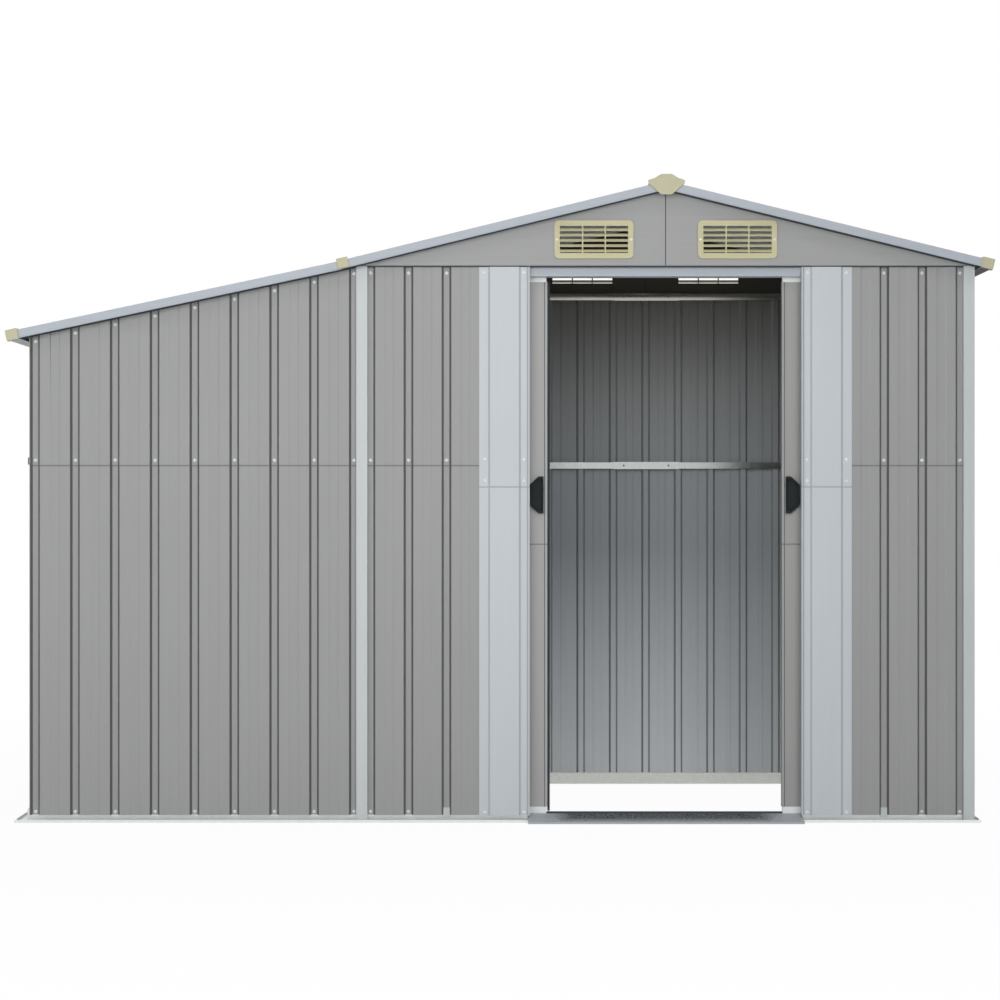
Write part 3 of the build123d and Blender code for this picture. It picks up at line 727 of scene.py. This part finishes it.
@dataclass
class Walls:
    """Ribbed walls, jamb panels, posts, gables and their screws."""

    foot_screw: float = 28.0
    lap_screw: float = 1015.0
    top_screw: float = 1541.0
    front_first: float = 827.5
    front_pitch: float = 106.7
    back_pitch: float = 103.44
    side_first: float = 462.5
    side_pitch: float = 106.7
    jamb_out: float = 502.5
    jamb_places: tuple = (507.2, 397.5)
    jamb_levels: tuple = (28.0, 957.0, 1016.5, 1540.5)
    lean_first: float = 1768.4
    lean_pitch: float = 111.8
    lean_count: int = 9
    lean_screw_drop: float = 24.0
    tab_width: float = 21.0
    tab_foot: float = 13.0
    tab_top: float = 40.0
    tab_thick: float = 2.0
    tab_edge: float = 0.6
    seam_width: float = 2.2
    seam_proud: float = 0.39
    trim_edge: float = 0.2
    tip_reach: float = 29.7
    front_count: int = 3
    back_count: int = 17
    side_count: int = 8
    sheet_fold: float = 1.6
    gable_edge: float = 0.3
    post_fold: float = 2.0

    def columns(self, side: Side, places: list[float], pan: float, skip_foot: tuple = ()) -> list[Matrix]:
        """Seats of the three rows of screws in the valleys of one wall.

        Args:
            side: The wall.
            places: Valleys along it.
            pan: Distance of its pans from the middle.
            skip_foot: Valleys with no foot screw.

        Returns:
            The seats.
        """
        lower, upper = pan - PLAN.valley, pan - PLAN.valley + PLAN.lap
        seats = [spot(side, p, self.foot_screw, lower) for p in places if p not in skip_foot]
        seats += [spot(side, p, self.lap_screw, upper) for p in places]
        return seats + [spot(side, p, self.top_screw, upper) for p in places]

    def sheets(self) -> None:
        """Round the folds of the sheets and coat their backs."""
        ahead, right = Vector((0, 1, 0)), Vector((1, 0, 0))
        sheets = (
            ("front_left_wall", WALL_GREY, ahead, BACK_COAT), ("front_right_wall", WALL_GREY, ahead, BACK_COAT),
            ("lean_to_front_wall", WALL_GREY, ahead, BACK_COAT), ("back_wall", WALL_GREY, -ahead, BACK_COAT),
            ("lean_to_back_wall", WALL_GREY, -ahead, BACK_COAT), ("left_wall", SIDE_GREY, right, SIDE_COAT),
            ("right_wall", SIDE_GREY, -right, SIDE_COAT),
        )
        for node, paint, inward, coat in sheets:
            soften(node, paint, "shed", self.sheet_fold, longest=True, inward=inward, coat=coat)
        for node, inward in (("front_gable", ahead), ("back_gable", -ahead)):
            soften(node, GABLE_GREY, "shed", self.gable_edge, inward=inward, coat=GABLE_BACK_SHADE)
        for node in ("left_jamb_panel", "right_jamb_panel"):
            soften(node, JAMB_PALE, "shed", self.sheet_fold, longest=True)
        for node in ("front_posts", "back_posts"):
            soften(node, POST_PALE, "shed", self.post_fold, longest=True)

    def tabs(self, places: list[float]) -> None:
        """Add the bent tabs of the base rail that clasp a valley.

        Args:
            places: Valleys along the front.
        """
        out = PLAN.pan - PLAN.valley
        for number, place in enumerate(places):
            near, far = place - self.tab_width / 2, place + self.tab_width / 2
            section = [
                Vector((near, -out, self.tab_foot)), Vector((far, -out, self.tab_foot)),
                Vector((far, -out, self.tab_top)), Vector((near, -out, self.tab_top)),
            ]
            thick = Vector((0, -self.tab_thick, 0))
            name = f"base_tab_{number + 1}"
            swept(name, section, thick, POST_PALE, "shed", self.tab_edge)

    def seams(self) -> None:
        """Fill the upright joint in the middle of each gable with sealing tape."""
        half = self.seam_width / 2
        foot, top = PLAN.wall_top + PLAN.lap, PLAN.main_under(half) - PLAN.lap
        for turn, name in ((-1, "front_gable_seam"), (1, "back_gable_seam")):
            face = turn * (PLAN.gable_face - PLAN.lap)
            corners = ((-half, foot), (half, foot), (half, top), (-half, top))
            section = [Vector((x, face, z)) for x, z in corners]
            path = Vector((0, turn * (PLAN.lap + self.seam_proud), 0))
            swept(name, section, path, SEAL_RUBBER, "shed", self.trim_edge)

    def tips(self) -> None:
        """Carry each gable out over the corner posts with a narrow lap piece."""
        ends = (PLAN.main_half, PLAN.main_half - self.tip_reach)
        for turn, side in ((-1, "front"), (1, "back")):
            for hand, label in ((-1, "left"), (1, "right")):
                corners = [(d, PLAN.wall_top + PLAN.lap) for d in ends]
                corners += [(d, PLAN.main_under(d) - PLAN.lap) for d in reversed(ends)]
                section = [Vector((hand * d, turn * (PLAN.gable_face - PLAN.lap), z)) for d, z in corners]
                path = Vector((0, turn * PLAN.lap, 0))
                name = f"{side}_{label}_gable_tip"
                swept(name, section, path, GABLE_GREY, "shed", self.trim_edge)

    def build(self, screws: Screws) -> None:
        """Dress the walls and add their screws.

        Args:
            screws: The screws to use.
        """
        self.sheets()
        front = [self.front_first - self.front_pitch * i for i in range(self.front_count)]
        plated = front[-1]
        self.tabs([-plated, plated])
        self.seams()
        self.tips()
        seats = self.columns(Side.FRONT, [-p for p in front], PLAN.pan, (-plated,))
        seats += self.columns(Side.FRONT, front, PLAN.pan, (plated,))
        screws.group("front_wall_screws", seats)
        jambs = [
            spot(Side.FRONT, s * p, z, self.jamb_out)
            for s in (-1, 1) for p in self.jamb_places for z in self.jamb_levels
        ]
        screws.group("jamb_screws", jambs)
        back = [self.back_pitch * (i - (self.back_count - 1) / 2) for i in range(self.back_count)]
        screws.group("back_wall_screws", self.columns(Side.BACK, back, PLAN.pan))
        side = [self.side_pitch * (i - (self.side_count - 1) / 2) for i in range(self.side_count)]
        side += [-self.side_first, self.side_first]
        screws.group("right_wall_screws", self.columns(Side.RIGHT, side, PLAN.side_pan))
        screws.group("left_wall_screws", self.columns(Side.LEFT, side, PLAN.side_pan))
        lower, upper = PLAN.pan - PLAN.valley, PLAN.pan - PLAN.valley + PLAN.lap
        runs = ((Side.FRONT, -1, "lean_to_front_screws"), (Side.BACK, 1, "lean_to_back_screws"))
        for face, turn, name in runs:
            seats = []
            for i in range(self.lean_count):
                place = self.lean_first - self.lean_pitch * i
                top = PLAN.lean_under(place) - self.lean_screw_drop
                levels = ((self.foot_screw, lower), (self.lap_screw, upper), (top, upper))
                seats += [spot(face, turn * place, level, out) for level, out in levels]
            screws.group(name, seats)


@dataclass
class Roof:
    """Roof sheets, trims, caps, the foam closures under the verges and the roof screws."""

    sheet_thick: float = 1.0
    sheet_fold: float = 1.6
    ridge_fold: float = 1.5
    trim_fold: float = 0.5
    cap_edge: float = 1.2
    end_cap_edge: float = 1.5
    foam_height: float = 10.8
    foam_thick: float = 5.0
    foam_gap: float = 0.4
    foam_edge: float = 0.8
    foam_ridge: float = 8.0
    foam_joint: float = 2.0
    underside: float = -0.5
    main_rows: tuple = (90.0, 470.0, 850.0)
    lean_rows: tuple = (960.0, 1370.0, 1780.0)

    def slope_spot(self, hand: float, distance: float, along: float, lean_to: bool) -> Matrix:
        """Seat in a valley of the roof, with Z square to the slope.

        Args:
            hand: -1 for the left slope and 1 for the right one.
            distance: Distance from the ridge in millimetres.
            along: Place along the depth in millimetres.
            lean_to: Whether the seat is on the lean-to roof.

        Returns:
            Matrix from the seat to the row frame.
        """
        slope = PLAN.lean_slope if lean_to else PLAN.main_slope
        under = PLAN.lean_under(distance) if lean_to else PLAN.main_under(distance)
        origin = Vector((RIDGE_X + hand * distance, along, under + self.sheet_thick)) * MM
        return Matrix.Translation(origin) @ Matrix.Rotation(hand * math.atan(slope), 4, "Y")

    def foam(self) -> None:
        """Add the dark foam closures between the verges and the walls, whose dark colour is also the painted
        shadow line under the verges.
        """
        runs = (
            ("main_left", -1.0, PLAN.main_half, self.foam_ridge, PLAN.main_under, PLAN.gable_face),
            ("main_right", 1.0, PLAN.main_half, self.foam_ridge, PLAN.main_under, PLAN.gable_face),
            (
                "lean_to", -1.0, PLAN.lean_end, PLAN.main_half + self.foam_joint, PLAN.lean_under,
                PLAN.pan + PLAN.lap,
            ),
        )
        foot, gap = self.foam_height, self.foam_gap
        for label, hand, far, near, under, face in runs:
            corners = ((far, foot), (near, foot), (near, gap), (far, gap))
            for turn, side in ((-1, "front"), (1, "back")):
                out = turn * (face + gap)
                section = [Vector((hand * d, out, under(d) - drop)) for d, drop in corners]
                path = Vector((0, turn * self.foam_thick, 0))
                name = f"{side}_{label}_foam"
                swept(name, section, path, FOAM_SHADE, "shed", self.foam_edge)

    def build(self, screws: Screws) -> None:
        """Dress the roof and add its screws.

        Args:
            screws: The screws to use.
        """
        down = Vector((0, 0, -1))
        for node in ("main_left_roof", "main_right_roof", "lean_to_roof"):
            soften(
                node, ROOF_GREY, "shed", self.sheet_fold, longest=True, inward=down,
                coat=ROOF_COAT,
            )
        soften("ridge_cap", RIDGE_GREY, "shed", self.ridge_fold, longest=True)
        for node in ("front_verge_trims", "back_verge_trims"):
            soften(node, TRIM_BLUE, "shed", self.trim_fold, longest=True)
        eaves = soften("eave_trims", TRIM_BLUE, "shed", self.trim_fold, longest=True).data
        eaves.materials.append(made_material(EAVE_UNDERSIDE_SHADE))
        for face in eaves.polygons:
            # Painted shade: the underside of the right eave is painted dark, as it lies in shade.
            face.material_index = int(face.normal.z < self.underside and face.center.x > 0)
        for node in ("corner_caps", "joint_clips"):
            soften(node, CREAM_PLASTIC, "shed", self.cap_edge)
        soften("ridge_end_caps", CREAM_PLASTIC, "shed", self.end_cap_edge)
        self.foam()
        valleys = [PLAN.roof_pitch * i - PLAN.roof_first for i in range(PLAN.roof_valleys)]
        seats = [
            self.slope_spot(h, d, v, False) for h in (-1, 1) for d in self.main_rows for v in valleys
        ]
        seats += [self.slope_spot(-1, d, v, True) for d in self.lean_rows for v in valleys]
        screws.group("roof_screws", seats)


@dataclass
class Vents:
    """Louvred gable vents with their two screws each."""

    offset: float = 201.0
    level: float = 1633.0
    screw_reach: float = 104.0
    screw_size: float = 0.8
    face: float = 514.2
    edge: float = 0.7

    def build(self, screws: Screws) -> None:
        """Dress the vents and add their screws.

        Args:
            screws: The screws to use.
        """
        for node, side in (("front_vents", Side.FRONT), ("back_vents", Side.BACK)):
            soften(node, VENT_CREAM, "shed", self.edge)
            reaches = [h * self.offset + s * self.screw_reach for h in (-1, 1) for s in (-1, 1)]
            seats = [spot(side, r, self.level, self.face) for r in reaches]
            screws.group(f"{node}_screws", seats, grow=self.screw_size)


@dataclass
class Rails:
    """Galvanised rails with the screws of their splices and the plugs of their open ends."""

    splice_reach: float = 71.0
    splice_seats: tuple = ((1013.0, 465.4), (1548.0, 463.65))
    crown_low: float = 1536.6
    crown_high: float = 1559.4
    crown_rise: float = 1.75
    crown_steps: int = 8
    web_back: float = 468.3
    plug_inset: float = 1.5
    plug_length: float = 8.0
    plug_gap: float = 0.3
    plug_edge: float = 0.5
    splice_screw: float = 0.6
    fold: float = 0.45

    def crown(self, rail: bpy.types.Object) -> None:
        """Roll a crown into the flat web of a rail on the back wall.

        Its foot then mirrors the bright ground and its top the dark roof.

        Args:
            rail: The rail's piece.
        """
        shape = bmesh.new()
        shape.from_mesh(rail.data)
        height = self.crown_high - self.crown_low
        for step in range(1, self.crown_steps):
            level = (self.crown_low + height * step / self.crown_steps) * MM
            parts = [*shape.verts, *shape.edges, *shape.faces]
            bmesh.ops.bisect_plane(
                shape, geom=parts, plane_co=(0.0, 0.0, level), plane_no=(0.0, 0.0, 1.0),
            )
        for vert in shape.verts:
            if vert.co.y < self.web_back * MM:
                share = (vert.co.z / MM - self.crown_low) / height * 2 - 1
                vert.co.y -= self.crown_rise * (1 - share * share) * MM
        shape.to_mesh(rail.data)
        shape.free()

    def plugs(self) -> None:
        """Close the ends of the front middle rails beside the doorway."""
        low, high = (Vector(corner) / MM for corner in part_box("front_mid_rails"))
        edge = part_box("right_jamb_panel")[0][0] / MM - RIDGE_X + self.plug_gap
        near, far = low.y + self.plug_inset, low.y + high.z - low.z - self.plug_inset
        foot, top = low.z + self.plug_inset, high.z - self.plug_inset
        corners = ((near, foot), (far, foot), (far, top), (near, top))
        for turn, label in ((-1, "left"), (1, "right")):
            section = [Vector((turn * edge, y, z)) for y, z in corners]
            path = Vector((turn * self.plug_length, 0, 0))
            swept(f"{label}_rail_plug", section, path, PLUG_GREY, "shed", self.plug_edge)

    def build(self, screws: Screws) -> None:
        """Dress the rails and add the splice screws.

        Args:
            screws: The screws to use.
        """
        for node in ("front_base_rails", "side_base_rails", "lean_to_base_rails"):
            soften(node, BASE_ZINC, "shed", self.fold, longest=True)
        soften("door_floor_track", TRACK_SHADE, "shed", self.fold, longest=True)
        rails = ("front_mid_rails", "back_mid_rails", "side_mid_rails", "lean_to_mid_rails")
        rails += ("side_top_rails", "lean_to_top_rails", "ridge_beam")
        for node in rails:
            soften(node, RAIL_ZINC, "shed", self.fold, longest=True)
        soften("back_base_rail", FOOT_ZINC, "shed", self.fold, longest=True)
        self.crown(soften("back_top_rails", CROWN_ZINC_SHADED, "shed", self.fold, longest=True))
        seats = [
            spot(Side.FRONT, s * self.splice_reach, z, -face)
            for s in (-1, 1) for z, face in self.splice_seats
        ]
        screws.group("splice_screws", seats, grow=self.splice_screw, finish=SCREW_ZINC)
        self.plugs()


@dataclass
class Doors:
    """Two sliding doors with their stiles, gliders, handles and the meeting seal."""

    foot: float = 39.0
    top: float = 1518.0
    depth: float = 20.0
    stile: float = 6.5
    seal_width: float = 7.0
    seal_depth: float = 12.0
    seal_foot: float = 26.0
    bead_width: float = 2.6
    bead_proud: float = 0.7
    bead_gap: float = 0.1
    edge_share: float = 0.3
    leaf_fold: float = 0.9
    stile_fold: float = 0.4
    glider_edge: float = 1.5
    handle_edge: float = 1.4

    def upright(
        self, name: str, low: float, high: float, front: float, back: float, body: str, finish: Finish,
        foot: float | None = None,
    ) -> None:
        """Add an extruded upright along a door edge.

        Args:
            name: Name of the piece.
            low: Its left side from the ridge line in millimetres.
            high: Its right side.
            front: Distance of its front from the middle of the depth.
            back: Distance of its back.
            body: Door that carries it.
            finish: Its finish.
            foot: Height of its lower end, or the foot of the door.
        """
        foot = self.foot if foot is None else foot
        corners = ((low, front), (high, front), (high, back), (low, back))
        section = [Vector((x, -y, foot)) for x, y in corners]
        rise = Vector((0, 0, self.top - foot))
        radius = min(high - low, front - back) * self.edge_share
        swept(name, section, rise, finish, body, radius)

    def build(self) -> None:
        """Dress both doors."""
        for hand, turn, paint in (("left", -1.0, LEFT_TAUPE_LIT), ("right", 1.0, RIGHT_TAUPE_SHADED)):
            body = f"{hand}_door"
            soften(f"{hand}_door_leaf", paint, body, self.leaf_fold, longest=True)
            soften(f"{hand}_door_stiles", paint, body, self.stile_fold, longest=True)
            soften(f"{hand}_door_gliders", GLIDER_WHITE, body, self.glider_edge)
            soften(f"{hand}_door_handle", HANDLE_BLACK, body, self.handle_edge)
            gaps = (self.bead_gap, self.bead_width)
            low, high = sorted(turn * (PLAN.open_half + self.stile + gap) for gap in gaps)
            front = PLAN.door_face + self.bead_proud
            self.upright(f"{hand}_door_bead", low, high, front, PLAN.door_face, body, BEAD_SHADE_GREY)
        front = PLAN.door_face - (self.depth - self.seal_depth) / 2
        back = front - self.seal_depth
        low, high = -PLAN.open_half, self.seal_width - PLAN.open_half
        self.upright("left_door_seal", low, high, front, back, "left_door", SEAL_RUBBER, self.seal_foot)


@dataclass
class Sill:
    """Door sill with its grit strip, the head track over the doors and the seal above it."""

    back: float = 461.1
    crest: float = 20.0
    reach: float = 544.8
    lip: float = 5.0
    half_back: float = 328.0
    half_front: float = 290.0
    strip_share: float = 0.94
    cell: float = 4.0
    cell_scatter: float = 0.3
    grit: float = 0.9
    grit_low: float = 0.2
    edge_lift: float = 0.05
    bed: float = 0.6
    seed: int = 7
    sill_fold: float = 0.6
    track_fold: float = 0.5
    seal_half: float = 834.0
    seal_level: float = 1556.8
    seal_height: float = 3.0
    seal_front: float = 507.2
    seal_depth: float = 18.0
    seal_edge: float = 0.6

    def seal(self) -> None:
        """Add the foam seal under the front gable, whose dark colour is also the painted shadow line above the
        head track.
        """
        low, high = self.seal_level, self.seal_level + self.seal_height
        front, back = -self.seal_front, self.seal_depth - self.seal_front
        corners = ((front, low), (back, low), (back, high), (front, high))
        section = [Vector((-self.seal_half, y, z)) for y, z in corners]
        path = Vector((2 * self.seal_half, 0, 0))
        swept("gable_seal", section, path, FOAM_SHADE, "shed", self.seal_edge)

    def strip(self) -> None:
        """Lay the grit strip on the slope of the sill."""
        shape = bmesh.new()
        length = math.hypot(self.reach - self.back, self.crest - self.lip)
        across = int(2 * self.half_back / self.cell)
        deep = int(length * self.strip_share / self.cell)
        rng = Random(self.seed)
        rows = []
        for row in range(deep + 1):
            share = row / deep
            half = self.half_back + (self.half_front - self.half_back) * share
            run = share * self.strip_share
            depth = self.back + (self.reach - self.back) * run
            level = self.crest + (self.lip - self.crest) * run
            line = []
            for column in range(across + 1):
                edge = row in (0, deep) or column in (0, across)
                lift = self.edge_lift if edge else rng.uniform(self.grit_low, self.grit)
                scatter = self.cell_scatter
                shift = 0.0 if edge else rng.uniform(-scatter, scatter) * self.cell
                x = (column / across * 2 - 1) * half + shift
                line.append(shape.verts.new(Vector((RIDGE_X + x, -depth, level + lift)) * MM))
            rows.append(line)
        for near, far in zip(rows, rows[1:]):
            for i in range(across):
                shape.faces.new((far[i], far[i + 1], near[i + 1], near[i]))
        shape.normal_update()
        bmesh.ops.solidify(shape, geom=list(shape.faces), thickness=self.bed * MM)
        add_piece("sill_grit_strip", shape, SILL_GRIT_REFLECTION, "shed")

    def build(self) -> None:
        """Dress the sill and the head track, and add the seal and the grit strip."""
        soften("door_sill", SILL_BLUE, "shed", self.sill_fold, longest=True)
        soften("door_head_track", TRIM_BLUE, "shed", self.track_fold, longest=True)
        self.seal()
        self.strip()


@dataclass(frozen=True)
class SoftBox:
    """Soft studio lamp: its places and size are in metres, and its power is in watts."""

    name: str
    place: tuple[float, float, float]
    target: tuple[float, float, float]
    size: tuple[float, float]
    power: float

    def build(self) -> None:
        """Add the lamp, out of sight of the camera and of mirrors."""
        data = bpy.data.lights.new(self.name, "AREA")
        data.shape, data.energy = "RECTANGLE", self.power
        data.size, data.size_y = self.size
        lamp = bpy.data.objects.new(self.name, data)
        lamp.location = self.place
        lamp.visible_camera = lamp.visible_glossy = False
        aim = Vector(self.target) - Vector(self.place)
        lamp.rotation_euler = aim.to_track_quat("-Z", "Y").to_euler()
        bpy.context.scene.collection.objects.link(lamp)


SOFT_BOXES = (
    SoftBox("key_box", (-1.6, -5.0, 1.8), (-3.5, 0.0, 0.9), (7.0, 1.6), 161.0),
    SoftBox("high_box", (3.0, -10.7, 11.5), (0.1, 0.0, 0.6), (3.2, 3.2), 245.0),
    SoftBox("left_box", (-8.0, 0.5, 5.0), (0.0, 0.0, 0.8), (4.0, 4.0), 230.0),
    SoftBox("right_box", (8.0, 0.5, 5.0), (0.0, 0.0, 0.8), (4.0, 4.0), 230.0),
    SoftBox("back_box", (1.0, 8.0, 6.0), (0.0, 0.0, 0.8), (5.0, 4.0), 450.0),
)


@dataclass
class Studio:
    """Floor, light and the camera of the photograph."""

    eye: tuple = (0.0, -7.8, 0.9035)
    lens: float = 93.7
    sensor: float = 36.0
    view_end: float = 100.0
    floor_half: float = 30.0
    floor_drop: float = 1.0
    sky: float = 0.19
    sky_tint: str = "f4f8ff"
    white: str = "ffffff"
    floor_grey: str = "bdbdbd"
    glow_near: float = 0.97
    glow_reach: tuple = (1.6, 4.5)

    def camera(self) -> None:
        """Place the camera level, looking along +Y."""
        data = bpy.data.cameras.new("camera")
        data.lens, data.sensor_width, data.clip_end = self.lens, self.sensor, self.view_end
        eye = bpy.data.objects.new("camera", data)
        eye.location = self.eye
        eye.rotation_euler = (math.pi / 2, 0.0, 0.0)
        bpy.context.scene.collection.objects.link(eye)
        bpy.context.scene.camera = eye

    def seen(self, tree: bpy.types.NodeTree) -> bpy.types.NodeSocket:
        """Socket that is 1 for camera, mirror and glass rays.

        Args:
            tree: Node tree that asks.

        Returns:
            The socket.
        """
        path = add_node(tree, "ShaderNodeLightPath")
        share = path.outputs["Is Camera Ray"]
        for ray in ("Is Glossy Ray", "Is Transmission Ray"):
            pair = {0: share, 1: path.outputs[ray]}
            share = add_node(tree, "ShaderNodeMath", pair, operation="MAXIMUM").outputs[0]
        return share

    def world(self) -> None:
        """White behind the shed, and a weaker even sky for its light."""
        world = bpy.data.worlds.new("studio")
        bpy.context.scene.world = world
        world.use_nodes = True
        tree = world.node_tree
        tree.nodes.clear()
        sky = add_node(
            tree, "ShaderNodeBackground", {"Color": linear(self.sky_tint), "Strength": self.sky},
        )
        white = add_node(tree, "ShaderNodeBackground", {"Color": linear(self.white), "Strength": 1.0})
        shaders = {0: self.seen(tree), 1: sky.outputs[0], 2: white.outputs[0]}
        mix = add_node(tree, "ShaderNodeMixShader", shaders)
        add_node(tree, "ShaderNodeOutputWorld", {"Surface": mix.outputs[0]})

    def floor(self) -> None:
        """Add the pale floor, which keeps a soft shadow."""
        material = blank_material("pale_floor")
        tree = material.node_tree
        paint = add_node(tree, "ShaderNodeBsdfDiffuse", {"Color": linear(self.floor_grey)})
        glow = add_node(tree, "ShaderNodeEmission", {"Color": linear(self.white), "Strength": 1.0})
        place = add_node(tree, "ShaderNodeTexCoord").outputs["Object"]
        away = add_node(tree, "ShaderNodeVectorMath", {0: place}, operation="LENGTH").outputs["Value"]
        near, far = self.glow_reach
        spread = add_node(
            tree, "ShaderNodeMapRange",
            {"Value": away, "From Min": near, "From Max": far, "To Min": self.glow_near},
        ).outputs[0]
        share = add_node(tree, "ShaderNodeMath", {0: self.seen(tree), 1: spread}, operation="MULTIPLY")
        shaders = {0: share.outputs[0], 1: paint.outputs[0], 2: glow.outputs[0]}
        mix = add_node(tree, "ShaderNodeMixShader", shaders)
        add_node(tree, "ShaderNodeOutputMaterial", {"Surface": mix.outputs[0]})
        shape = bmesh.new()
        bmesh.ops.create_grid(
            shape, x_segments=1, y_segments=1, size=self.floor_half,
            matrix=Matrix.Translation((0, 0, -self.floor_drop * MM)),
        )
        mesh = bpy.data.meshes.new("floor")
        shape.to_mesh(mesh)
        shape.free()
        mesh.materials.append(material)
        floor = bpy.data.objects.new("floor", mesh)
        bpy.context.scene.collection.objects.link(floor)

    def build(self) -> None:
        """Build the studio."""
        bpy.context.scene.view_settings.view_transform = "Standard"
        self.camera()
        for box in SOFT_BOXES:
            box.build()
        self.world()
        self.floor()


def main() -> None:
    """Build every sub-assembly in order."""
    logging.basicConfig(level=logging.INFO, format="%(message)s")
    Studio().build()
    screws = Screws()
    Walls().build(screws)
    Roof().build(screws)
    Vents().build(screws)
    Rails().build(screws)
    Doors().build()
    Sill().build()


if __name__ == "__main__":
    main()
